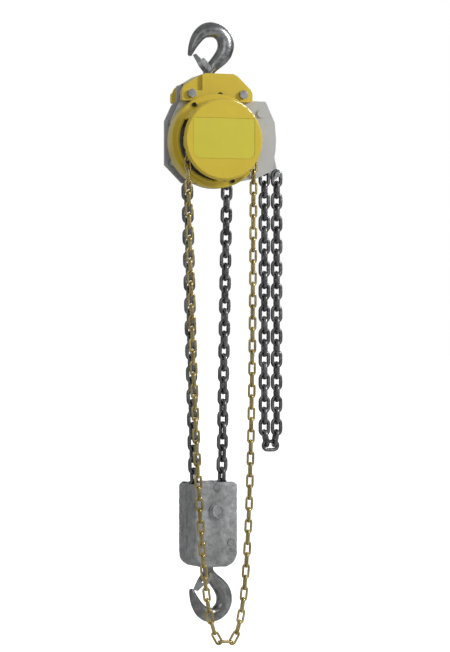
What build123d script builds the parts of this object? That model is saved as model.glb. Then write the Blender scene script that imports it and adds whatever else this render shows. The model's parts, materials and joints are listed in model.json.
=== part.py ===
from build123d import *
from math import acosh, asin, atan2, cos, degrees, dist, pi, radians, sin, sqrt
import os

# Manual chain hoist with two falls of load chain. Millimetres, +Z up, X to the right, Y to the back.
# The origin is the saddle of the top hook, and the load chain hangs in the plane y = 0.

# ---- driving dimensions ----------------------------------------------------------------------
SHAFT_Z = -222.0            # main shaft, below the top hook's saddle
YOKE_TOP = -80.0
YOKE_UNDER = -98.0          # face that carries the top hook's thrust bearing
YOKE_BOTTOM = -138.0
YOKE_DEPTH = 44.0           # each half, out from y = 0
PLATE_IN = 24.0             # inner faces of the two frame plates
PLATE_OUT = 30.0
BLOCK_Z = -992.0            # block axle
BLOCK_TOP = -932.0
BLOCK_BOTTOM = -1110.0
BLOCK_HALF = 52.0
BLOCK_DEPTH = 37.0
BLOCK_CAVITY = 47.2         # half width of the space for the sheave and the chain
BLOCK_TURN = 12.0           # the block hangs turned about the vertical
BOTTOM_SADDLE = -1196.0

LOAD = dict(pitch=24.0, wire=8.0, width=26.0)
HAND = dict(pitch=23.6, wire=5.0, width=17.0)
GAP = 0.1                   # play in each pair of links

SHEAVE_R = 46.5             # pitch radii of the chain on its wheels
BLOCK_R = 32.0
IDLER_R = 33.5
IDLER_X = 91.5
IDLER_Z = SHAFT_Z - 9.0
HAND_R = 72.0
HAND_Y = -86.0              # plane of the hand chain
HAND_LOW = -1266.0          # lowest point of the hand chain's centre line
HAND_LEAN = 11.4            # how far its lowest point hangs to the right
HAND_SAG = 14.5             # catenary constant of the hand chain's loop
FALL_START = SHAFT_Z - 63.0
DEAD_X = 42.0
TAIL_X = 152.5
LOOP_LOW = -880.0
LOOP_BEND = 31.4            # height over which the slack strands draw together

RIM_R = 98.0                # hand-wheel cover
DRUM_R = 86.0
RIM_FRONT = -62.0
COVER_FRONT = -110.0
WALL = 3.5

SHANK_R = 11.0
SHAFT_R = 6.0
FIT = 0.05                  # radial play of a running fit
MODULE = 2.0                # gear train: 12 teeth drive 28, twice
PINION_TEETH = 12
WHEEL_TEETH = 28
GEAR_A = MODULE * (PINION_TEETH + WHEEL_TEETH) / 2
RATCHET_TEETH = 24
RATCHET_R = 38.0
RATCHET_ROOT = 33.0
BRAKE_Y = (-33.0, -39.0, -41.5, -48.0, -50.5)   # hub, disc, ratchet, disc, wheel

os.makedirs("parts", exist_ok=True)


def save(name, *solids):
    export_step(solids[0] if len(solids) == 1 else Compound(children=list(solids)), f"parts/{name}.step")


# ---- helpers ---------------------------------------------------------------------------------
def rod(radius, y0, y1, x=0.0, z=0.0):
    """Round bar along Y."""
    return Pos(x, (y0 + y1) / 2, z) * Rot(90, 0, 0) * Cylinder(radius, abs(y1 - y0))


def post(radius, z0, z1, x=0.0, y=0.0):
    """Round bar along Z."""
    return Pos(x, y, (z0 + z1) / 2) * Cylinder(radius, abs(z1 - z0))


def block(x0, x1, y0, y1, z0, z1):
    return Pos((x0 + x1) / 2, (y0 + y1) / 2, (z0 + z1) / 2) * Box(x1 - x0, y1 - y0, z1 - z0)


def slab(face, y0, y1):
    """Extrude a face drawn as (x, z) from y0 to y1."""
    return Pos(0, y1, 0) * Rot(90, 0, 0) * extrude(face, y1 - y0)


def outline(points, corner=0.0):
    face = make_face(Polyline(*points, close=True))
    return fillet(face.vertices(), corner) if corner else face


def ring(outer, inner, y0, y1, x=0.0, z=0.0):
    return rod(outer, y0, y1, x, z) - rod(inner, y0 - 1, y1 + 1, x, z)


def turned(profile, z):
    """Turn (radius, y) points about the Y axis at height z."""
    face = make_face(Polyline(*[(r, y, 0) for r, y in profile], close=True))
    return Pos(0, 0, z) * revolve(face, Axis.Y, 360)


def hexagon(across, y0, y1, x, z, turn=0.0):
    return slab(Pos(x, z) * Rot(0, 0, turn) * RegularPolygon(across / 2, 6, major_radius=False), y0, y1)


def polar(radius, angle):
    return radius * cos(radians(angle)), radius * sin(radians(angle))


# ---- chains ----------------------------------------------------------------------------------
def link(pitch, wire, width):
    """One welded link, long in X and flat in XY."""
    bend = (width - wire) / 2
    half = (pitch + wire) / 2 - bend
    path = Wire([
        Line((-half, bend), (half, bend)).edge(),
        CenterArc((half, 0), bend, 90, -180).edge(),
        Line((half, -bend), (-half, -bend)).edge(),
        CenterArc((-half, 0), bend, -90, -180).edge(),
    ])
    return sweep(Plane(origin=(-half, bend, 0), z_dir=(1, 0, 0)) * Circle(wire / 2), path=path).solid()


def chords(kind, gap):
    """Lengths between joints: a link in the bending plane, then one across it."""
    return kind["pitch"] - kind["wire"] - 2 * gap, kind["pitch"] + kind["wire"]


def walk(path, lengths, first=0):
    """Step along a path by straight chords of alternating length; returns the joints."""
    points = [(p.X, p.Y, p.Z) for p in path]
    here = points[0]
    joints = [here]
    at = 0
    while True:
        reach = lengths[(first + len(joints) - 1) % 2]
        while at + 1 < len(points) and dist(points[at + 1], here) < reach:
            at += 1
        if at + 1 >= len(points):
            return [Vector(*p) for p in joints]
        a, b = points[at], points[at + 1]
        step = [q - p for p, q in zip(a, b)]
        back = [p - h for p, h in zip(a, here)]
        square = sum(d * d for d in step)
        middle = sum(d * e for d, e in zip(step, back))
        rest = sum(e * e for e in back) - reach * reach
        share = (sqrt(middle * middle - square * rest) - middle) / square
        here = tuple(p + share * d for p, d in zip(a, step))
        joints.append(here)


def fitted(path, kind, first, count=None):
    """The joints of a chain that ends at the path's end, with the play that makes it fit."""
    end = path[-1]
    rise = 1 if end.Z > path[-2].Z else -1
    beyond = path + [end + Vector(0, 0, 60 * rise)]
    count = count or len(walk(path, chords(kind, GAP), first)) // 2 * 2 + 1
    low, high = 0.0, 1.2
    for _ in range(30):
        gap = (low + high) / 2
        joints = walk(beyond, chords(kind, gap), first)
        if (joints[count].Z - end.Z) * rise > 0:
            low = gap
        else:
            high = gap
    print("play", round(gap, 3), "links", count, "miss", round(joints[count].Z - end.Z, 3))
    return joints[:count + 1]


def place(shape, joints, normals, first):
    """Put a link between each two joints, in and across the bending plane in turn."""
    solids = []
    for k, (a, b, n) in enumerate(zip(joints, joints[1:], normals)):
        along = (b - a).normalized()
        side = (n - along * n.dot(along)).normalized()
        up = side if (first + k) % 2 == 0 else along.cross(side)
        solids.append(Plane(origin=(a + b) / 2, x_dir=along, z_dir=up).location * shape)
    return solids


def arc(cx, cz, radius, start, end, y=0.0, steps=240):
    points = []
    for i in range(steps + 1):
        x, z = polar(radius, start + (end - start) * i / steps)
        points.append(Vector(cx + x, y, cz + z))
    return points


def bearing_normals(joints, turn_at):
    """Direction of the wheel axis along a strand, from the turn given at each joint's height."""
    normals = []
    for a, b in zip(joints, joints[1:]):
        angle = radians(turn_at((a.Z + b.Z) / 2))
        normals.append(Vector(-sin(angle), cos(angle), 0))
    return normals


LOAD_LINK = link(**LOAD)
HAND_LINK = link(**HAND)


def over_sheaves():
    """Load chain from the left fall over the load sheave and the idler, down to the slack side."""
    dx, dz = IDLER_X, IDLER_Z - SHAFT_Z
    tilt = degrees(atan2(dz, dx))
    leave = tilt + 90 - degrees(asin((SHEAVE_R - IDLER_R) / sqrt(dx * dx + dz * dz)))
    path = [Vector(-SHEAVE_R, 0, FALL_START)]
    path += arc(0, SHAFT_Z, SHEAVE_R, 180, leave)
    path += arc(IDLER_X, IDLER_Z, IDLER_R, leave, 0)
    path.append(Vector(IDLER_X + IDLER_R, 0, IDLER_Z - 90))
    joints = walk(path, chords(LOAD, GAP))
    while not (len(joints) % 2 == 0 and joints[-1].Z < IDLER_Z - 8
               and joints[-3].Z > IDLER_Z - 60):
        joints.pop()
    return joints


def load_line():
    """Both falls and the wrap round the block sheave, with the block turned."""
    turn = radians(BLOCK_TURN)
    wrap = []
    for p in arc(0, BLOCK_Z, BLOCK_R, 180, 360):
        wrap.append(Vector(p.X * cos(turn), p.X * sin(turn), p.Z))
    path = [Vector(-SHEAVE_R, 0, FALL_START)] + wrap + [Vector(DEAD_X, 0, FALL_START)]
    joints = fitted(path, LOAD, 1)

    def turn_at(z):
        return BLOCK_TURN * min(1, (FALL_START - z) / (FALL_START - BLOCK_TOP))

    return joints, bearing_normals(joints, turn_at)


def slack_loop(top):
    """Slack side: down from the idler, across one link at the bottom and up to the tail pin."""
    middle = (IDLER_X + IDLER_R + TAIL_X) / 2
    short, long = chords(LOAD, GAP)
    pairs = round((top.Z - LOOP_LOW - long) / (short + long))
    low = top.Z - long - pairs * (short + long)
    bend = Vector(top.X, 0, low + LOOP_BEND)
    foot = Vector(middle - short / 2, 0, low)
    down = fitted([top, bend, foot], LOAD, 1, 2 * pairs + 1)
    up = [Vector(2 * middle - p.X, 0, p.Z) for p in reversed(down)]
    joints = down + up
    return joints, [Vector(0, 1, 0)] * len(joints)


def hand_path():
    """Closed path of the hand chain: over the wheel, and a hanging catenary below it."""
    drop = SHAFT_Z - HAND_LOW

    def strand(side, height):
        spread = HAND_SAG * acosh(height / HAND_SAG + 1)
        full = HAND_SAG * acosh(drop / HAND_SAG + 1)
        return HAND_LEAN * (1 - height / drop) + side * spread * HAND_R / full

    heights = [drop * (i / 900) ** 2 for i in range(901)]
    right = [Vector(strand(1, h), HAND_Y, HAND_LOW + h) for h in reversed(heights)]
    left = [Vector(strand(-1, h), HAND_Y, HAND_LOW + h) for h in heights[1:]]
    return arc(0, SHAFT_Z, HAND_R, 90, 0, HAND_Y) + right[1:] + left + \
        arc(0, SHAFT_Z, HAND_R, 180, 90, HAND_Y)[1:]


def hand_joints():
    """Joints of the closed hand chain; the play is the one that closes the loop at the top."""
    path = hand_path()
    top_half = chords(HAND, GAP)[1] / 2
    start = next(k for k, p in enumerate(path) if p.X > top_half)
    run = path[start:]
    goal = -run[0].X
    count = len(walk(run, chords(HAND, GAP))) + 1
    while count % 2 == 0 or walk(run, chords(HAND, GAP))[count - 2].X > goal:
        count -= 1
    low, high = 0.0, 0.9
    for _ in range(30):
        gap = (low + high) / 2
        joints = walk(run, chords(HAND, gap))
        if len(joints) <= count or joints[count].X > goal:
            low = gap
        else:
            high = gap
    print("hand play", round(gap, 3), "links", count + 1, "miss", round(joints[count].X - goal, 3))
    return joints[:count + 1]


def make_chains():
    flat = Vector(0, 1, 0)
    over = over_sheaves()
    fixed = place(LOAD_LINK, over, [flat] * len(over), 0)
    save("load_chain_on_sheaves", *fixed)

    reach = chords(LOAD, GAP)[0]
    dead = [Vector(DEAD_X, 0, FALL_START + reach), Vector(DEAD_X, 0, FALL_START)]
    tail = [Vector(TAIL_X, 0, over[-1].Z + reach), Vector(TAIL_X, 0, over[-1].Z)]
    save("load_chain_end_links", *place(LOAD_LINK, dead, [flat], 0), *place(LOAD_LINK, tail, [flat], 0))

    joints, normals = load_line()
    links = place(LOAD_LINK, joints, normals, 1)
    inside = [s for s in links if s.center().Z < BLOCK_TOP]
    outside = [s for s in links if s.center().Z >= BLOCK_TOP]
    save("load_chain_falls", *outside)
    save("load_chain_block_wrap", *inside)

    joints, normals = slack_loop(over[-1])
    save("load_chain_slack_loop", *place(LOAD_LINK, joints, normals, 1))

    joints = hand_joints()
    links = place(HAND_LINK, joints, [flat] * len(joints), 0)
    closing = place(HAND_LINK, [joints[-1], joints[0]], [flat], 1)
    limit = SHAFT_Z - 42
    hanging = [k for k, (a, b) in enumerate(zip(joints, joints[1:])) if a.Z < limit and b.Z < limit]
    while hanging[0] % 2 == 0:
        hanging.pop(0)
    while hanging[-1] % 2 == 0:
        hanging.pop()
    first, last = hanging[0], hanging[-1]
    save("hand_chain_loop", *links[first:last + 1])
    save("hand_chain_on_wheel", *(links[:first] + links[last + 1:] + closing))
    print("hand swing joint", joints[first].Z, joints[last + 1].Z)
    print("load swing joint", FALL_START, "slack swing joint", over[-1].Z)
    return over[-1].Z


# ---- hooks -----------------------------------------------------------------------------------
# Centre line of the hook above its shank: x, z, half thickness in the hook's plane, half width.
HOOK_STATIONS = [
    (0, -79.5, 11, 11), (2, -72, 11.5, 11.5), (10, -61, 13, 12), (24, -47, 15.5, 12.5),
    (36, -30, 17.5, 13), (39, -12, 18, 13.5), (32, 5, 17, 13.5), (18, 14.5, 16, 13.5),
    (3, 16, 16, 13), (-13, 10, 14.5, 12.5), (-25, -3, 12.5, 11.5), (-33, -18, 9.5, 10),
    (-38, -31, 6.5, 8), (-41, -40, 3.5, 5),
]
LATCH_PIVOT = (-3.0, -67.0)
LATCH_AIM = 129.0           # direction from the pivot to the tip's inner side
LATCH_SIDE = 13.2


def hook_body(shank_end):
    sections = []
    count = len(HOOK_STATIONS)
    for k, (x, z, thick, wide) in enumerate(HOOK_STATIONS):
        before = HOOK_STATIONS[max(k - 1, 0)]
        after = HOOK_STATIONS[min(k + 1, count - 1)]
        along = Vector(after[0] - before[0], 0, after[1] - before[1])
        if k == 0:
            along = Vector(0, 0, 1)
        across = along.cross(Vector(0, 1, 0)).normalized()
        sections.append(Plane(origin=(x, 0, z), x_dir=across, z_dir=along.normalized())
                        * Ellipse(thick, wide))
    body = loft(sections)
    shank = post(SHANK_R, shank_end, HOOK_STATIONS[0][1])
    hole = rod(2.6, -20, 20, *LATCH_PIVOT)
    cheeks = [block(-14, 8, s * 11.2 if s > 0 else -20, 20 if s > 0 else -11.2, -73.5, -60.5)
              for s in (1, -1)]
    return (body + shank) - hole - cheeks


def latch_pin():
    pin = rod(2.5, -15.5, 15.5, *LATCH_PIVOT)
    return pin + rod(4, -16.9, -15.5, *LATCH_PIVOT) + rod(4, 15.5, 16.9, *LATCH_PIVOT)


def latch_plate():
    """Pressed-steel latch: two ears on the pin and a tongue that closes on the tip."""
    ears = outline([(-5.5, -5), (14, -7), (25, -5.5), (25, 3), (14, 5), (-5.5, 5)], 2.4)
    shape = slab(ears, LATCH_SIDE, LATCH_SIDE + 2) + slab(ears, -LATCH_SIDE - 2, -LATCH_SIDE)
    tongue = slab(outline([(21, 0.5), (21, 3), (40.5, 3), (40.5, 0.5)]), -LATCH_SIDE - 2, LATCH_SIDE + 2)
    taper = Plane.XY * make_face(Polyline((20, -15.2), (26, -15.2), (42, -8), (42, 8), (26, 15.2),
                                          (20, 15.2), close=True))
    shape += tongue & extrude(taper, 20, both=True)
    shape -= rod(2.5 + FIT, -20, 20)
    x, z = LATCH_PIVOT
    return Pos(x, 0, z) * Rot(0, -LATCH_AIM, 0) * shape


def latch_spring():
    """Torsion spring of round wire about the pin, on one side of the shank."""
    coils = []
    for side in (1, -1):
        path = Helix(pitch=1.15, height=0.9, radius=4.0, center=(0, 0, 0), direction=(0, 0, 1))
        coil = sweep(Plane(origin=path @ 0, z_dir=path % 0) * Circle(0.4), path=path)
        x, z = LATCH_PIVOT
        coils.append(Pos(x, side * 12.2 + 0.45, z) * Rot(90, 0, 0) * coil)
    return coils


def save_hook(prefix, shank_end, nut_z, bearing_z, where):
    nut = post(19, *nut_z) - post(SHANK_R + FIT, nut_z[0] - 1, nut_z[1] + 1)
    nut = nut & (Pos(0, 0, sum(nut_z) / 2) * extrude(RegularPolygon(19, 6), 40, both=True))
    mid = sum(bearing_z) / 2
    groove = Pos(0, 0, mid) * Torus(18.4, 1.2)
    bearing = post(18, *bearing_z) - post(SHANK_R + FIT, bearing_z[0] - 1, bearing_z[1] + 1) - groove
    save(f"{prefix}_hook", where(hook_body(shank_end)))
    save(f"{prefix}_hook_nut", where(nut))
    save(f"{prefix}_thrust_bearing", where(bearing))
    save(f"{prefix}_latch", where(latch_plate()))
    save(f"{prefix}_latch_pin", where(latch_pin()))
    save(f"{prefix}_latch_spring", *[where(coil) for coil in latch_spring()])


def bottom_place(shape):
    return Pos(0, 0, BOTTOM_SADDLE) * Rot(0, 0, BLOCK_TURN) * mirror(shape, about=Plane.XY)


def make_hooks():
    save_hook("top", -124.0, (-122.0, -106.2), (-106.0, YOKE_UNDER - 0.1), lambda s: s)
    under = BOTTOM_SADDLE - BLOCK_BOTTOM - 12.0
    save_hook("bottom", under - 26, (under - 24, under - 8.2), (under - 8.0, under - 0.1), bottom_place)


# ---- frame -----------------------------------------------------------------------------------
PLATE_POINTS = [
    (-62, 88), (-62, 122), (74, 122), (78, 88), (118, 88), (138, 44), (141, 10), (140, -14),
    (132, -58), (98, -74), (48, -84), (-50, -84), (-88, -46), (-88, 46), (-72, 80),
]
SPACERS = [(-74, 42), (-74, -42), (107, 62), (88, -66)]
YOKE_BOLTS = [(-50, -123), (63, -123)]


def frame_plate(y0, y1):
    plate = Pos(0, 0, SHAFT_Z) * slab(outline(PLATE_POINTS, 5), y0, y1)
    plate -= rod(20, y0 - 1, y1 + 1, 0, SHAFT_Z)
    plate -= rod(8, y0 - 1, y1 + 1, IDLER_X, IDLER_Z)
    for x, z in SPACERS:
        plate -= rod(4.2, y0 - 1, y1 + 1, x, SHAFT_Z + z)
    for x, z in YOKE_BOLTS:
        plate -= rod(5.2, y0 - 1, y1 + 1, x, z)
    plate -= rod(4, y0 - 1, y1 + 1, DEAD_X, dead_pin_z())
    return plate


def dead_pin_z():
    return FALL_START + chords(LOAD, GAP)[0]


def yoke_half(side):
    points = [(-70, YOKE_BOTTOM), (-70, -119), (-64, -106), (-30, -85), (-20, YOKE_TOP),
              (42, YOKE_TOP), (52, -85), (80, -112), (84, -120), (84, YOKE_BOTTOM)]
    shape = slab(outline(points, 4), 0.15, YOKE_DEPTH)
    shape -= block(-90, 90, 0, PLATE_OUT, YOKE_BOTTOM - 1, YOKE_UNDER)
    shape -= post(SHANK_R + 0.06, YOKE_UNDER - 1, YOKE_TOP + 1)
    shape -= block(-71, -26, 36, 45, -116, YOKE_TOP + 1)
    for x, z in YOKE_BOLTS:
        shape -= rod(5.2, 0, 60, x, z)
    shape -= rod(3, 20, 60, 13, -125)
    shape -= rod(6, YOKE_DEPTH - 4, 60, 13, -125)
    return shape if side > 0 else mirror(shape, about=Plane.XZ)


def make_frame(tail_z):
    save("front_frame_plate", frame_plate(-PLATE_OUT, -PLATE_IN))
    save("rear_frame_plate", frame_plate(PLATE_IN, PLATE_OUT))
    spacers, bolts = [], []
    for x, z in SPACERS:
        spacers.append(ring(7, 4.2, -PLATE_IN, PLATE_IN, x, SHAFT_Z + z))
        bolt = rod(4, -PLATE_OUT, PLATE_OUT + 8, x, SHAFT_Z + z)
        head = hexagon(13, -PLATE_OUT - 5, -PLATE_OUT, x, SHAFT_Z + z, 15)
        nut = hexagon(13, PLATE_OUT, PLATE_OUT + 6, x, SHAFT_Z + z)
        if x > 100:
            head = rod(9, -PLATE_OUT - 4, -PLATE_OUT, x, SHAFT_Z + z)
        bolts.append(bolt + head + nut)
    save("frame_spacers", *spacers)
    save("frame_bolts", *bolts)
    save("yoke_front", yoke_half(-1))
    save("yoke_rear", yoke_half(1))
    studs = []
    for x, z in YOKE_BOLTS:
        stud = rod(5, -YOKE_DEPTH - 4, YOKE_DEPTH + 4, x, z)
        studs.append(stud + hexagon(17, -YOKE_DEPTH - 8, -YOKE_DEPTH, x, z, 30)
                     + hexagon(17, YOKE_DEPTH, YOKE_DEPTH + 8, x, z))
    save("yoke_bolts", *studs)
    screws = []
    for side in (1, -1):
        screw = rod(2.9, PLATE_OUT, YOKE_DEPTH - 4, 13, -125) + rod(5.6, YOKE_DEPTH - 4, YOKE_DEPTH, 13, -125)
        screw -= hexagon(5, YOKE_DEPTH - 2.5, YOKE_DEPTH + 1, 13, -125)
        screws.append(screw if side > 0 else mirror(screw, about=Plane.XZ))
    save("yoke_screws", *screws)
    bearings = []
    for y0, y1 in ((-PLATE_OUT, -PLATE_IN), (PLATE_IN, PLATE_OUT)):
        bearings.append(ring(20, 14 + FIT, y0, y1, 0, SHAFT_Z))
    save("sheave_bearings", *bearings)
    pin = rod(8, -PLATE_OUT, PLATE_OUT + 4, IDLER_X, IDLER_Z)
    save("idler_pin", pin + rod(19, -PLATE_OUT - 4, -PLATE_OUT, IDLER_X, IDLER_Z))
    save("chain_stripper", block(-13, 13, -PLATE_IN, PLATE_IN, SHAFT_Z - 78, SHAFT_Z - 58)
         - rod(9, -8, 8, 0, SHAFT_Z - 56))
    tail_pin_z = tail_z + chords(LOAD, GAP)[0]
    dead = rod(3.9, -PLATE_OUT, PLATE_OUT, DEAD_X, dead_pin_z())
    tail = rod(3.9, -6, PLATE_IN, TAIL_X, tail_pin_z) + rod(6, -8, -6, TAIL_X, tail_pin_z)
    save("chain_end_pins", dead, tail)
    arm = outline([(112, IDLER_Z + 46), (140, IDLER_Z + 50), (TAIL_X + 9, tail_pin_z + 9),
                   (TAIL_X + 9, tail_pin_z - 9), (TAIL_X - 9, tail_pin_z - 9), (112, IDLER_Z + 24)], 5)
    save("tail_anchor", slab(arm, 20.6, PLATE_IN) - rod(3.95, 10, 30, TAIL_X, tail_pin_z))


# ---- wheels ----------------------------------------------------------------------------------
def chain_wheel(y_mid, z, rim, groove, slot, flange_r, flange_in, flange_out, bore, pockets):
    """Chain wheel: a deep groove for the links on edge, a rim for the flat ones, notched flanges."""
    y = [y_mid + s for s in (-flange_out, -flange_in, -slot, slot, flange_in, flange_out)]
    profile = [(bore, y[0]), (flange_r, y[0]), (flange_r, y[1]), (rim, y[1]), (rim, y[2]),
               (groove, y[2]), (groove, y[3]), (rim, y[3]), (rim, y[4]), (flange_r, y[4]),
               (flange_r, y[5]), (bore, y[5])]
    wheel = turned(profile, z)
    for k in range(pockets):
        x, dz = polar(flange_r + 1.5, 360 * (k + 0.5) / pockets)
        wheel -= rod(flange_r * 0.13, y[0] - 1, y[5] + 1, x, z + dz)
    return wheel


def gear(teeth, y0, y1, bore, phase=0.0):
    """Spur gear with involute flanks, a short addendum and a little backlash."""
    pressure = radians(20)
    pitch_r = MODULE * teeth / 2
    base = pitch_r * cos(pressure)
    tip = pitch_r + 0.7 * MODULE
    root = pitch_r - 1.1 * MODULE
    backlash = 0.22
    half = (pi * MODULE / 2 - backlash) / 2 / pitch_r

    def involute(radius):
        angle = sqrt((radius / base) ** 2 - 1)
        return angle - atan2(angle, 1)

    start = max(base, root)
    radii = [start + (tip - start) * i / 2 for i in range(3)]
    flank = [(r, half + involute(pitch_r) - involute(r)) for r in radii]
    flank = [(root, flank[0][1])] + flank if root < base else flank
    points = []
    for k in range(teeth):
        mid = 2 * pi * k / teeth + radians(phase)
        points += [(r * cos(mid - a), r * sin(mid - a)) for r, a in flank]
        points += [(r * cos(mid + a), r * sin(mid + a)) for r, a in reversed(flank)]
    body = slab(outline(points), y0, y1)
    return body - rod(bore, y0 - 1, y1 + 1) if bore else body


def make_drive():
    at = Pos(0, 0, SHAFT_Z)
    sheave = chain_wheel(0, SHAFT_Z, 39, 32, 5.5, 52, 14, 20, 7, 6)
    sheave += ring(14, 7, -31, -19.9, 0, SHAFT_Z) + ring(14, 7, 19.9, 31.5, 0, SHAFT_Z)
    save("load_sheave", sheave)
    save("load_gear", at * gear(WHEEL_TEETH, 31.5, 40, 7))
    half_big, half_small = 180 / WHEEL_TEETH, 180 / PINION_TEETH
    for name, side in (("left", -1), ("right", 1)):
        pair = gear(PINION_TEETH, 31.5, 40.5, 0, half_small) + gear(WHEEL_TEETH, 40.5, 49, 0, half_big)
        pair -= rod(5 + FIT, 20, 60)
        save(f"intermediate_gear_{name}", Pos(side * GEAR_A, 0, SHAFT_Z) * pair)
    pins = [rod(5, PLATE_OUT, 54, side * GEAR_A, SHAFT_Z) for side in (-1, 1)]
    save("gear_pins", *pins)
    shaft = rod(SHAFT_R, COVER_FRONT + 14, 54, 0, SHAFT_Z) + at * gear(PINION_TEETH, 41, 49, 0)
    save("pinion_shaft", shaft)

    hub, disc_a, ratchet, disc_b, wheel = BRAKE_Y
    brake = ring(31, SHAFT_R, disc_a, hub, 0, SHAFT_Z) + ring(16, SHAFT_R, wheel, disc_a, 0, SHAFT_Z)
    save("brake_hub", brake)
    save("friction_discs", ring(30, 16, ratchet + 0.1, disc_a, 0, SHAFT_Z),
         ring(30, 16, wheel, disc_b - 0.1, 0, SHAFT_Z))
    points = []
    for k in range(RATCHET_TEETH):
        step = 360 / RATCHET_TEETH
        points += [polar(RATCHET_R, k * step), polar(RATCHET_ROOT, k * step + 2)]
    save("ratchet_disc", at * slab(outline(points), disc_b, ratchet) - rod(16 + FIT, -60, -30, 0, SHAFT_Z))

    wheel_body = chain_wheel(HAND_Y, SHAFT_Z, 67.3, 62.2, 3.5, 79, 9.6, 14, SHAFT_R, 12)
    wheel_body -= ring(56, 17, HAND_Y - 20, HAND_Y - 4, 0, SHAFT_Z)
    wheel_body -= ring(56, 32, HAND_Y + 4, HAND_Y + 20, 0, SHAFT_Z)
    for k in range(6):
        x, dz = polar(42, 60 * k + 30)
        wheel_body -= rod(8, -110, -60, x, SHAFT_Z + dz)
    wheel_body += ring(32, SHAFT_R, HAND_Y + 13.9, wheel, 0, SHAFT_Z)
    save("hand_wheel", wheel_body)
    nut = hexagon(20, HAND_Y - 18, HAND_Y - 14, 0, SHAFT_Z) - rod(SHAFT_R, -120, -60, 0, SHAFT_Z)
    save("hand_wheel_nut", nut)

    save("idler_sheave", Pos(IDLER_X, 0, 0) * chain_wheel(0, IDLER_Z, 24.6, 19, 5.5, 38, 14, 20, 8 + FIT, 5))
    make_pawls(disc_b, ratchet)


PAWL_PIVOT = (46.0, 27.0)   # from the shaft, before the pawl is turned into its place
PAWL_ANGLES = {"upper": 105.0, "lower": 285.0}


def make_pawls(y0, y1):
    pins, springs = [], []
    nose = outline([(34.4, 2.7), (38.6, 10.4), (41.5, 17), (41, 32), (52, 30), (49.5, 16), (40.2, 1.8)])
    arm = slab(nose, y0, y1) + rod(8, y0, y1, *PAWL_PIVOT)
    arm -= rod(3.5 + FIT, -60, -30, *PAWL_PIVOT)
    for name, angle in PAWL_ANGLES.items():
        turn = Pos(0, 0, SHAFT_Z) * Rot(0, -angle, 0)
        save(f"pawl_{name}", turn * arm)
        pin = rod(3.5, -PLATE_OUT, y0 - 3.5, *PAWL_PIVOT)
        pin += ring(6, 3.4, -PLATE_OUT, y1 + 0.2, *PAWL_PIVOT) + rod(5.5, y0 - 3.5, y0 - 2.2, *PAWL_PIVOT)
        pins.append(turn * pin)
        path = Helix(pitch=0.9, height=0.7, radius=4.4)
        coil = sweep(Plane(origin=path @ 0, z_dir=path % 0) * Circle(0.3), path=path)
        springs.append(turn * Pos(PAWL_PIVOT[0], y0 - 0.6, PAWL_PIVOT[1]) * Rot(90, 0, 0) * coil)
    save("pawl_pins", *pins)
    save("pawl_springs", *springs)


# ---- covers ----------------------------------------------------------------------------------
COVER_SCREWS = [124, 41, 292]


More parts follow.
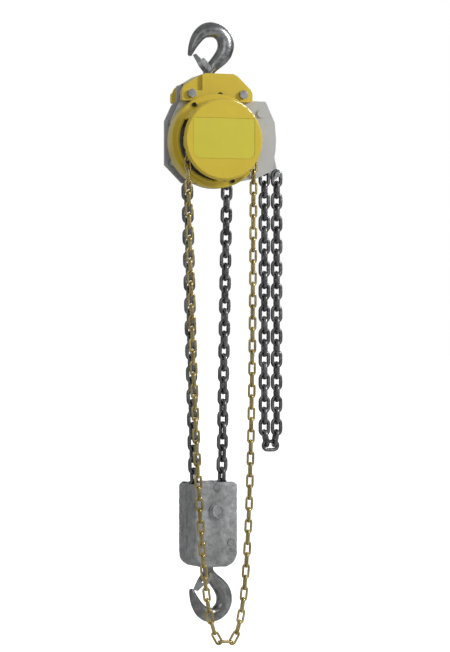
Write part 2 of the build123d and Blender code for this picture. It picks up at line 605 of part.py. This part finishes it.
def make_covers():
    outer = [(RIM_R, -PLATE_OUT), (RIM_R, RIM_FRONT + 2), (RIM_R - 2, RIM_FRONT), (DRUM_R + 2, RIM_FRONT),
             (DRUM_R, RIM_FRONT - 2), (DRUM_R - 1.5, COVER_FRONT + 5), (DRUM_R - 6, COVER_FRONT), (0, COVER_FRONT)]
    inner = [(0, COVER_FRONT + 4.5), (DRUM_R - 8, COVER_FRONT + 4.5), (DRUM_R - 5, COVER_FRONT + 8),
             (DRUM_R - WALL, RIM_FRONT + WALL), (RIM_R - WALL, RIM_FRONT + WALL), (RIM_R - WALL, -PLATE_OUT)]
    cover = turned(outer + inner, SHAFT_Z)
    for angle in COVER_SCREWS:
        x, z = polar(DRUM_R + 3.2, angle)
        cover += rod(5.2, RIM_FRONT + 1, -PLATE_OUT, x, SHAFT_Z + z)
        cover -= rod(2.6, -120, -20, x, SHAFT_Z + z)
        cover -= rod(4.9, -120, RIM_FRONT + 0.01, x, SHAFT_Z + z)
    for side in (-1, 1):
        wedge = [(0, 0)] + [(side * -x, z) for x, z in (polar(120, a) for a in (150, 180, 210, 240, 264))]
        slot = slab(outline(wedge), COVER_FRONT + 6, RIM_FRONT - 4) - rod(60, -120, -50)
        cover -= Pos(0, 0, SHAFT_Z) * slot
    cover -= block(-78, 92, -YOKE_DEPTH - 9, -PLATE_OUT + 1, YOKE_BOTTOM - 1, -100)
    cover -= rod(20, -PLATE_OUT - 5, -PLATE_OUT + 1, IDLER_X, IDLER_Z)
    panel = outline([(-66, -40), (67, -40), (67, 44), (-66, 44)], 0)
    panel = fillet(panel.vertices().sort_by(Axis.Y)[:2], 16)
    panel &= Circle(DRUM_R - 8)
    recess = Pos(0, 0, SHAFT_Z) * slab(panel, COVER_FRONT - 1, COVER_FRONT + 1.5)
    cover -= recess
    save("hand_wheel_cover", cover)
    plate = offset(panel, -0.4)
    save("cover_label_plate", Pos(0, 0, SHAFT_Z) * slab(plate, COVER_FRONT + 0.5, COVER_FRONT + 1.5))
    screws = []
    for angle in COVER_SCREWS:
        x, z = polar(DRUM_R + 3.2, angle)
        screw = rod(2.6, RIM_FRONT, -PLATE_OUT, x, SHAFT_Z + z) + rod(4.6, RIM_FRONT - 4, RIM_FRONT, x, SHAFT_Z + z)
        screws.append(screw - hexagon(4, RIM_FRONT - 5, RIM_FRONT - 2, x, SHAFT_Z + z))
    save("cover_screws", *screws)

    def oval(radius):
        return Rectangle(2 * GEAR_A, 2 * radius) + Pos(-GEAR_A, 0) * Circle(radius) + Pos(GEAR_A, 0) * Circle(radius)

    at = Pos(0, 0, SHAFT_Z)
    box = slab(oval(36), PLATE_OUT, 60) + slab(oval(44), PLATE_OUT, PLATE_OUT + 3)
    box -= slab(oval(32.5), PLATE_OUT - 1, 56.5)
    screws = []
    for sx in (-1, 1):
        for sz in (-1, 1):
            x, z = sx * (GEAR_A + 25.7), sz * 30.6
            box -= rod(2.5, PLATE_OUT - 1, 40, x, z)
            screw = rod(2.5, PLATE_OUT, PLATE_OUT + 3, x, z) + rod(3.9, PLATE_OUT + 3, PLATE_OUT + 6, x, z)
            screws.append(at * screw)
    save("gear_cover", at * box)
    save("gear_cover_screws", *screws)


# ---- bottom block ----------------------------------------------------------------------------
BLOCK_BOLTS = [(0, -943), (-34, -1060), (34, -1060)]


def make_block():
    at = Rot(0, 0, BLOCK_TURN)
    half = BLOCK_HALF
    face = outline([(-half, BLOCK_BOTTOM), (half, BLOCK_BOTTOM), (half, BLOCK_TOP - 6), (half - 8, BLOCK_TOP),
                    (-half + 8, BLOCK_TOP), (-half, BLOCK_TOP - 6)])
    face = fillet(face.vertices().sort_by(Axis.Y)[:2], 30)
    shell = slab(face, 0, BLOCK_DEPTH)
    edges = shell.edges().filter_by_position(Axis.Y, BLOCK_DEPTH - 0.01, BLOCK_DEPTH + 0.01)
    shell = fillet(edges, 6)
    shell -= rod(BLOCK_CAVITY, -1, 24, 0, BLOCK_Z)
    shell -= block(-BLOCK_CAVITY, BLOCK_CAVITY, -1, 24, BLOCK_Z, BLOCK_TOP + 1)
    shell += block(-13, 13, 0, 24, BLOCK_TOP - 18.5, BLOCK_TOP - 1)
    shell -= block(-26, 26, -1, 24, -1096, -1062)
    shell -= block(-26, 26, -1, 24, BLOCK_BOTTOM + 12, -1062)
    shell -= post(SHANK_R + 0.06, BLOCK_BOTTOM - 1, BLOCK_BOTTOM + 13)
    shell -= rod(9, -1, 60, 0, BLOCK_Z)
    for x, z in BLOCK_BOLTS:
        shell -= rod(4, -1, 60, x, z)
        shell -= rod(7.2, BLOCK_DEPTH - 5, 60, x, z)
    save("block_rear_shell", at * shell)
    save("block_front_shell", at * mirror(shell, about=Plane.XZ))
    save("block_axle", at * rod(9, -BLOCK_DEPTH - 8, BLOCK_DEPTH + 8, 0, BLOCK_Z))
    nuts = []
    for side in (-1, 1):
        nut = ring(15, 9, side * (BLOCK_DEPTH + 6) - 3, side * (BLOCK_DEPTH + 6) + 3, 0, BLOCK_Z)
        nut += ring(18, 9, side * (BLOCK_DEPTH + 1.5) - 1.5, side * (BLOCK_DEPTH + 1.5) + 1.5, 0, BLOCK_Z)
        nuts.append(at * nut)
    save("block_axle_nuts", *nuts)
    bolts = []
    for x, z in BLOCK_BOLTS:
        bolt = rod(4, -BLOCK_DEPTH + 5, BLOCK_DEPTH - 5, x, z)
        for side in (-1, 1):
            bolt += rod(7, side * (BLOCK_DEPTH - 5), side * BLOCK_DEPTH, x, z)
        bolts.append(at * bolt)
    save("block_bolts", *bolts)
    save("block_sheave", at * chain_wheel(0, BLOCK_Z, 23.2, 17.4, 5.5, 40, 14, 20, 12, 5))
    save("block_bushing", at * ring(12, 9 + FIT, -22, 22, 0, BLOCK_Z))


tail_joint_z = make_chains()
make_hooks()
make_frame(tail_joint_z)
make_drive()
make_covers()
make_block()
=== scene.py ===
import json
from math import cos, pi, radians, sin

import bmesh
import bpy
import numpy as np
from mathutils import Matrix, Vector, noise


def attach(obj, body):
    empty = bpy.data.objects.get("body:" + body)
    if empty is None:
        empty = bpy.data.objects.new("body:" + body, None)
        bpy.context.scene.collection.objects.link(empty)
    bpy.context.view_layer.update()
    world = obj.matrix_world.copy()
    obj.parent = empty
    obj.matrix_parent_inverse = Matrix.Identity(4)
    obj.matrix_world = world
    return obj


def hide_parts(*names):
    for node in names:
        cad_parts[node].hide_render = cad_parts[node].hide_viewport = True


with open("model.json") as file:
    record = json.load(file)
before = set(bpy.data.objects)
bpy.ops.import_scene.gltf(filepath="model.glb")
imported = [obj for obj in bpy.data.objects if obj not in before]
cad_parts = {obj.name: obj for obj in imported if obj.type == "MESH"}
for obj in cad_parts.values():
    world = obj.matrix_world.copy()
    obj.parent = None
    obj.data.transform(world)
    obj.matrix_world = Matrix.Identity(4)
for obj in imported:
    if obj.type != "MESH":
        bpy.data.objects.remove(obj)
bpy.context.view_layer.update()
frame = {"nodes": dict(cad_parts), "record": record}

NODES = frame["nodes"]
MM = 0.001

# ---- camera, light and floor -----------------------------------------------------------------
AZIMUTH = radians(-18)      # the camera stands to the left of the cover's axis
DISTANCE = 5.0
FRAME_HEIGHT = 1.369        # what the picture spans at the hoist, in metres
AIM = Vector((0.034, -0.011, -0.606))
SENSOR = 36                 # width of the camera's sensor, in millimetres
FLOOR_Z = -1.45
FLOOR_RADIUS = 60
WORLD_LIGHT = 0.42          # how strongly the white surroundings light the hoist
LIGHTS = {                  # where each soft light stands, its size in metres and its power in watts
    "key": ((2.5, -2.3, 1.1), 1.0, 70),
    "fill": ((-0.6, -3.2, 0.6), 1.4, 7),
    "rim": ((1.6, 2.2, 1.0), 1.2, 26),
}


def make_camera():
    data = bpy.data.cameras.new("camera")
    data.sensor_width = SENSOR
    data.lens = SENSOR * DISTANCE / FRAME_HEIGHT
    camera = bpy.data.objects.new("camera", data)
    bpy.context.collection.objects.link(camera)
    away = Vector((sin(AZIMUTH), -cos(AZIMUTH), 0))
    camera.location = AIM + away * DISTANCE
    camera.rotation_euler = (radians(90), 0, AZIMUTH)
    bpy.context.scene.camera = camera


def area_light(name, place, size, power):
    data = bpy.data.lights.new(name, "AREA")
    data.size = size
    data.energy = power
    light = bpy.data.objects.new(name, data)
    bpy.context.collection.objects.link(light)
    light.location = place
    light.rotation_euler = (AIM - Vector(place)).to_track_quat("-Z", "Y").to_euler()


def make_world():
    world = bpy.data.worlds.new("studio")
    world.use_nodes = True
    nodes, links = world.node_tree.nodes, world.node_tree.links
    seen = nodes.new("ShaderNodeMapRange")      # pure white behind the hoist, softer as a light
    seen.inputs["To Min"].default_value = WORLD_LIGHT
    seen.inputs["To Max"].default_value = 1.0
    links.new(nodes.new("ShaderNodeLightPath").outputs["Is Camera Ray"], seen.inputs["Value"])
    nodes["Background"].inputs["Color"].default_value = (1, 1, 1, 1)
    links.new(seen.outputs["Result"], nodes["Background"].inputs["Strength"])
    bpy.context.scene.world = world
    bpy.context.scene.view_settings.view_transform = "Standard"


def make_floor():
    """A pale floor: white to the camera, a soft grey to the light that falls on it."""
    bpy.ops.mesh.primitive_circle_add(
        vertices=96, radius=FLOOR_RADIUS, fill_type="NGON", location=(0, 0, FLOOR_Z))
    floor = bpy.context.object
    floor.name = "floor"
    material = bpy.data.materials.new("floor")
    material.use_nodes = True
    nodes, links = material.node_tree.nodes, material.node_tree.links
    shader = nodes["Principled BSDF"]
    shader.inputs["Base Color"].default_value = (0.6, 0.6, 0.6, 1)
    shader.inputs["Roughness"].default_value = 0.9
    shader.inputs["Emission Color"].default_value = (1, 1, 1, 1)
    links.new(nodes.new("ShaderNodeLightPath").outputs["Is Camera Ray"], shader.inputs["Emission Strength"])
    floor.data.materials.append(material)


# ---- materials -------------------------------------------------------------------------------
class Finish:
    """A procedural finish: a base colour broken up by noise, with its own gloss and relief."""

    def __init__(self, name, metallic=0.0, coat=0.0):
        self.material = bpy.data.materials.new(name)
        self.material.use_nodes = True
        self.tree = self.material.node_tree
        self.shader = self.tree.nodes["Principled BSDF"]
        self.shader.inputs["Metallic"].default_value = metallic
        self.shader.inputs["Coat Weight"].default_value = coat
        self.place = self.tree.nodes.new("ShaderNodeTexCoord").outputs["Object"]
        self.height = None

    def add(self, kind, **values):
        node = self.tree.nodes.new(kind)
        for key, value in values.items():
            setattr(node, key, value)
        return node

    def wire(self, a, b):
        self.tree.links.new(a, b)

    def noise(self, scale, detail=4.0, rough=0.55, stretch=None):
        node = self.add("ShaderNodeTexNoise")
        node.inputs["Scale"].default_value = scale
        node.inputs["Detail"].default_value = detail
        node.inputs["Roughness"].default_value = rough
        if stretch:
            mapping = self.add("ShaderNodeMapping")
            mapping.inputs["Scale"].default_value = stretch
            self.wire(self.place, mapping.inputs["Vector"])
            self.wire(mapping.outputs["Vector"], node.inputs["Vector"])
        else:
            self.wire(self.place, node.inputs["Vector"])
        return node.outputs["Fac"]

    def ramp(self, source, low, high, a, b):
        node = self.add("ShaderNodeValToRGB")
        node.color_ramp.elements[0].position = low
        node.color_ramp.elements[0].color = (*a, 1)
        node.color_ramp.elements[1].position = high
        node.color_ramp.elements[1].color = (*b, 1)
        self.wire(source, node.inputs["Fac"])
        return node.outputs["Color"]

    def mix(self, factor, a, b, blend="MIX"):
        """Blend two colours, each of them, like the factor, a plain value or a socket."""
        node = self.add("ShaderNodeMix", data_type="RGBA", blend_type=blend)
        sockets = node.inputs
        for socket, value in ((sockets["Factor"], factor), (sockets[6], a), (sockets[7], b)):
            if isinstance(value, float):
                socket.default_value = value
            elif isinstance(value, tuple):
                socket.default_value = (*value, 1)
            else:
                self.wire(value, socket)
        return node.outputs[2]

    def colour(self, source):
        self.wire(source, self.shader.inputs["Base Color"])

    def rough(self, source, low, high):
        node = self.add("ShaderNodeMapRange")
        node.inputs["From Min"].default_value = 0.3
        node.inputs["From Max"].default_value = 0.7
        node.inputs["To Min"].default_value = low
        node.inputs["To Max"].default_value = high
        self.wire(source, node.inputs["Value"])
        self.wire(node.outputs["Result"], self.shader.inputs["Roughness"])

    def bump(self, source, depth, strength=1.0):
        node = self.add("ShaderNodeBump")
        node.inputs["Distance"].default_value = depth
        node.inputs["Strength"].default_value = strength
        self.wire(source, node.inputs["Height"])
        if self.height:
            self.wire(self.height, node.inputs["Normal"])
        self.height = node.outputs["Normal"]
        self.wire(self.height, self.shader.inputs["Normal"])


def enamel(name, light, deep, scuff, coat=0.5):
    """Sprayed gloss enamel: faint orange peel, slight patchiness and small scuffs."""
    f = Finish(name, coat=coat)
    f.shader.inputs["Coat Roughness"].default_value = 0.12
    patch = f.ramp(f.noise(9, 5), 0.35, 0.7, deep, light)
    marks = f.ramp(f.noise(55, 8, 0.75, (1, 1, 0.35)), 0.69, 0.73, (0, 0, 0), (1, 1, 1))
    f.colour(f.mix(marks, patch, scuff))
    f.rough(f.noise(40, 3), 0.30, 0.42)
    f.bump(f.noise(420, 2), 0.00018, 0.35)
    return f.material


def casting():
    """Rough grey sand casting, painted thinly: coarse grain, pits and darker stains."""
    f = Finish("grey_casting", metallic=0.35)
    base = f.ramp(f.noise(60, 9, 0.7), 0.3, 0.75, (0.22, 0.23, 0.235), (0.56, 0.58, 0.59))
    stain = f.ramp(f.noise(7, 6), 0.35, 0.62, (0.55, 0.54, 0.52), (1, 1, 1))
    f.colour(f.mix(0.4, base, stain, "MULTIPLY"))
    f.rough(f.noise(90, 6), 0.5, 0.68)
    f.bump(f.noise(240, 7, 0.7), 0.0011, 0.9)
    f.bump(f.noise(900, 3), 0.0003, 0.6)
    return f.material


def steel(name, dark, bright, rough, grain, metallic=1.0):
    """Bare, plated or oiled steel: mottled tone, worn bright spots and a fine grain."""
    f = Finish(name, metallic=metallic)
    tone = f.ramp(f.noise(34, 7, 0.6), 0.32, 0.72, dark, bright)
    speck = f.ramp(f.noise(300, 4, 0.7), 0.6, 0.72, (1, 1, 1), (1.25, 1.22, 1.15))
    f.colour(f.mix(0.7, tone, speck, "MULTIPLY"))
    f.rough(f.noise(60, 5), *rough)
    f.bump(f.noise(grain, 5, 0.6), 0.0003, 0.5)
    return f.material


def lining():
    """Moulded brake lining: dark brown, matt and grainy."""
    f = Finish("brake_lining")
    f.colour(f.ramp(f.noise(500, 4), 0.4, 0.6, (0.05, 0.035, 0.025), (0.16, 0.12, 0.08)))
    f.rough(f.noise(120), 0.75, 0.9)
    f.bump(f.noise(700, 3), 0.0002, 0.6)
    return f.material


def make_materials():
    """One finish for each material slot of the record."""
    return {
        "yellow_paint": enamel(
            "yellow_enamel", (0.76, 0.58, 0.035), (0.68, 0.50, 0.03), (0.52, 0.41, 0.08)),
        "label_yellow": enamel(
            "label_yellow", (0.72, 0.63, 0.05), (0.66, 0.58, 0.045), (0.6, 0.52, 0.1), 0.3),
        "grey_paint": enamel(
            "grey_enamel", (0.56, 0.56, 0.55), (0.48, 0.48, 0.47), (0.3, 0.3, 0.3), 0.3),
        "cast_iron": casting(),
        "forged_steel": steel(
            "forged_steel", (0.13, 0.13, 0.13), (0.44, 0.45, 0.46), (0.2, 0.38), 260),
        "chain_steel": steel(
            "chain_steel", (0.10, 0.10, 0.105), (0.32, 0.325, 0.33), (0.22, 0.38), 420),
        "gold_zinc": steel(
            "gold_zinc", (0.36, 0.27, 0.09), (0.76, 0.65, 0.33), (0.2, 0.34), 500),
        "zinc_steel": steel(
            "zinc_steel", (0.30, 0.31, 0.32), (0.55, 0.56, 0.57), (0.24, 0.38), 350),
        "black_steel": steel(
            "black_steel", (0.012, 0.012, 0.012), (0.04, 0.04, 0.04), (0.3, 0.45), 400, 0.6),
        "machined_steel": steel(
            "machined_steel", (0.35, 0.35, 0.36), (0.6, 0.6, 0.61), (0.2, 0.34), 600),
        "spring_steel": steel(
            "spring_steel", (0.2, 0.2, 0.2), (0.38, 0.38, 0.38), (0.25, 0.35), 600),
        "friction_lining": lining(),
        "bronze": steel("bronze", (0.35, 0.22, 0.08), (0.6, 0.42, 0.2), (0.3, 0.42), 500),
    }


# ---- pieces ----------------------------------------------------------------------------------
BODY_OF = {n: b for b, nodes in frame["record"]["behaviour"]["bodies"].items() for n in nodes}
SLOT_OF = {s["node"]: s["material_slot"] for s in frame["record"]["subparts"]}
SLOT_OF.update({            # pieces painted or blackened along with their neighbours
    "block_axle_nuts": "cast_iron", "block_axle": "cast_iron", "block_bolts": "cast_iron",
    "frame_bolts": "grey_paint", "idler_pin": "grey_paint", "hand_wheel": "black_steel",
})
WELD_DISTANCE = 1e-6        # vertices nearer than this are one
BEVEL_ANGLE = radians(40)   # edges sharper than this are broken
CAST_GRAIN = 90             # how many bumps a cast skin has to the metre
EDGES = {                   # how far each piece's edges are broken, in millimetres
    "yoke_front": 1.4, "yoke_rear": 1.4, "hand_wheel_cover": 0.9, "cover_label_plate": 0.3,
    "front_frame_plate": 0.6, "rear_frame_plate": 0.6, "gear_cover": 2.0, "gear_cover_screws": 0.5,
    "frame_bolts": 0.5, "yoke_bolts": 0.6, "cover_screws": 0.4, "idler_pin": 0.8, "tail_anchor": 0.6,
    "chain_end_pins": 0.5, "top_latch": 0.4, "bottom_latch": 0.4, "top_latch_pin": 0.4,
    "bottom_latch_pin": 0.4, "hand_wheel": 0.8, "load_sheave": 0.8, "idler_sheave": 0.8,
    "block_sheave": 0.8, "chain_stripper": 0.8, "block_axle": 0.8, "block_axle_nuts": 0.8,
    "block_bolts": 0.5, "frame_spacers": 0.3,
}
CASTINGS = {                # voxel size and depth of the rough skin, in millimetres
    "block_front_shell": (1.5, 0.9), "block_rear_shell": (1.5, 0.9),
    "top_hook": (1.1, 0.25), "bottom_hook": (1.1, 0.25),
}


def smooth(mesh, angle=radians(35)):
    """Shade a mesh smooth, except across edges sharper than the angle."""
    for polygon in mesh.polygons:
        polygon.use_smooth = True
    mesh.set_sharp_from_angle(angle=angle)


def stand_for(node, mesh, name):
    """Put a mesh in the node's place, on the node's body and in its finish."""
    piece = bpy.data.objects.new(name, mesh)
    bpy.context.collection.objects.link(piece)
    piece.data.materials.clear()
    piece.data.materials.append(MATERIALS[SLOT_OF[node]])
    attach(piece, BODY_OF[node])
    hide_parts(node)
    return piece


def apply_modifiers(piece):
    graph = bpy.context.evaluated_depsgraph_get()
    mesh = bpy.data.meshes.new_from_object(piece.evaluated_get(graph))
    piece.modifiers.clear()
    piece.data = mesh


def clean_copy(node):
    """The node's mesh with flat faces joined up, ready to bevel."""
    mesh = NODES[node].data.copy()
    mesh.materials.clear()
    work = bmesh.new()
    work.from_mesh(mesh)
    bmesh.ops.remove_doubles(work, verts=work.verts, dist=WELD_DISTANCE)
    bmesh.ops.dissolve_limit(work, angle_limit=radians(1), verts=work.verts, edges=work.edges)
    work.to_mesh(mesh)
    work.free()
    return mesh


def rounded(node, width):
    """Stand a copy of the node with softly broken edges in its place."""
    piece = stand_for(node, clean_copy(node), f"{node}_rounded")
    bevel = piece.modifiers.new("bevel", "BEVEL")
    bevel.width = width
    bevel.segments = 3
    bevel.limit_method = "ANGLE"
    bevel.angle_limit = BEVEL_ANGLE
    bevel.use_clamp_overlap = True
    smooth(piece.data)
    flats = piece.modifiers.new("flats", "WEIGHTED_NORMAL")
    flats.keep_sharp = True
    apply_modifiers(piece)


def cast(node, voxel, depth):
    """Stand a rough cast skin in the node's place: remeshed, and roughened inwards only."""
    piece = stand_for(node, NODES[node].data.copy(), f"{node}_cast")
    remesh = piece.modifiers.new("remesh", "REMESH")
    remesh.mode = "VOXEL"
    remesh.voxel_size = voxel
    relax = piece.modifiers.new("relax", "SMOOTH")
    relax.factor = 0.5
    relax.iterations = 2
    apply_modifiers(piece)
    piece.data.materials.append(MATERIALS[SLOT_OF[node]])
    normals = [v.normal.copy() for v in piece.data.vertices]
    for vertex, normal in zip(piece.data.vertices, normals):
        coarse = noise.fractal(vertex.co * CAST_GRAIN, 1.0, 2.0, 3)
        vertex.co += normal * depth * (min(coarse, 0.5) - 0.5)
    smooth(piece.data, radians(60))


# ---- chains ----------------------------------------------------------------------------------
RING_POINTS = 14            # round a link's wire
BEND_POINTS = 11            # along each of its two bends
SIDE_POINTS = 7             # along each straight side
WELD_HALF = 0.68            # half length of a weld bead, in wire radii
LOAD_WELD = 0.07            # how much thicker the wire is there
HAND_WELD = 0.12


def islands(mesh):
    """The separate solids of a mesh, each as an array of its triangles' corners."""
    work = bmesh.new()
    work.from_mesh(mesh)
    bmesh.ops.remove_doubles(work, verts=work.verts, dist=WELD_DISTANCE)
    bmesh.ops.triangulate(work, faces=work.faces)
    work.faces.index_update()
    seen = set()
    found = []
    for start in work.verts:
        if start in seen:
            continue
        stack = [start]
        seen.add(start)
        faces = set()
        while stack:
            vertex = stack.pop()
            faces.update(vertex.link_faces)
            for edge in vertex.link_edges:
                other = edge.other_vert(vertex)
                if other not in seen:
                    seen.add(other)
                    stack.append(other)
        in_order = sorted(faces, key=lambda face: face.index)
        found.append(np.array([[v.co[:] for v in face.verts] for face in in_order]))
    work.free()
    return found


def link_frame(triangles):
    """Centre, half sizes and axes (long, wide, thick) of one link."""
    middles = triangles.mean(axis=1)
    one, two, three = triangles[:, 0], triangles[:, 1], triangles[:, 2]
    areas = np.linalg.norm(np.cross(two - one, three - one), axis=1)
    centre = (middles * areas[:, None]).sum(0) / areas.sum()
    offset = middles - centre
    spread = (offset * areas[:, None]).T @ offset
    axes = np.linalg.eigh(spread)[1][:, ::-1].T
    corners = triangles.reshape(-1, 3) @ axes.T
    low, high = corners.min(0), corners.max(0)
    return ((low + high) / 2) @ axes, (high - low) / 2, axes


def link_line(half_long, bend):
    """A link's centre line from its welded side round: each point's place, its outward direction,
    whether it lies on the welded side, and how far along that side it is from the middle."""
    straight = half_long - bend
    points = []
    for side in (0, 1):
        turn = pi * side
        for i in range(SIDE_POINTS):
            x = straight * (2 * i / SIDE_POINTS - 1)
            points.append((-x * cos(turn), bend * cos(turn), 0.0, cos(turn), side == 0, abs(x)))
        for i in range(BEND_POINTS):
            angle = turn + pi / 2 + pi * i / BEND_POINTS
            dx, dy = cos(angle), sin(angle)
            points.append((-straight * cos(turn) + bend * dx, bend * dy, dx, dy, False, 1.0))
    return points


def chain_piece(node, weld):
    """Stand finer links in a chain node's place, each with a weld bead on one side."""
    vertices, faces = [], []
    for k, triangles in enumerate(islands(NODES[node].data)):
        centre, half, axes = link_frame(triangles)
        wire = half[2]
        line = link_line(half[0] - wire, half[1] - wire)
        flip = -1 if k % 2 else 1
        base = len(vertices)
        for x, y, dx, dy, welded, along in line:
            bead = weld * max(0.0, 1 - (along / (wire * WELD_HALF)) ** 2) if welded else 0.0
            for j in range(RING_POINTS):
                angle = 2 * pi * j / RING_POINTS
                grow = wire * (1 + bead)
                out, up = grow * cos(angle), grow * sin(angle)
                local = np.array([x + out * dx, (y + out * dy) * flip, up])
                vertices.append(centre + local @ axes)
        count = len(line)
        for i in range(count):
            for j in range(RING_POINTS):
                a, b = base + i * RING_POINTS, base + (i + 1) % count * RING_POINTS
                quad = (a + j, a + (j + 1) % RING_POINTS, b + (j + 1) % RING_POINTS, b + j)
                faces.append(quad)
    mesh = bpy.data.meshes.new(f"{node}_links")
    mesh.from_pydata([tuple(v) for v in vertices], [], faces)
    work = bmesh.new()
    work.from_mesh(mesh)
    bmesh.ops.recalc_face_normals(work, faces=work.faces)
    work.to_mesh(mesh)
    work.free()
    piece = stand_for(node, mesh, f"{node}_links")
    smooth(piece.data, radians(80))


# ---- making ----------------------------------------------------------------------------------
MATERIALS = make_materials()
for node_name, node_object in NODES.items():     # hidden pieces keep their CAD shape
    node_object.data.materials.clear()
    node_object.data.materials.append(MATERIALS[SLOT_OF[node_name]])

make_camera()
make_world()
for light_name, (place, size, power) in LIGHTS.items():
    area_light(light_name, place, size, power)
make_floor()

for node_name, width in EDGES.items():
    rounded(node_name, width * MM)

for node_name, (voxel, depth) in CASTINGS.items():
    cast(node_name, voxel * MM, depth * MM)

for node_name in NODES:
    if node_name.startswith("load_chain"):
        chain_piece(node_name, LOAD_WELD)
    elif node_name.startswith("hand_chain"):
        chain_piece(node_name, HAND_WELD)
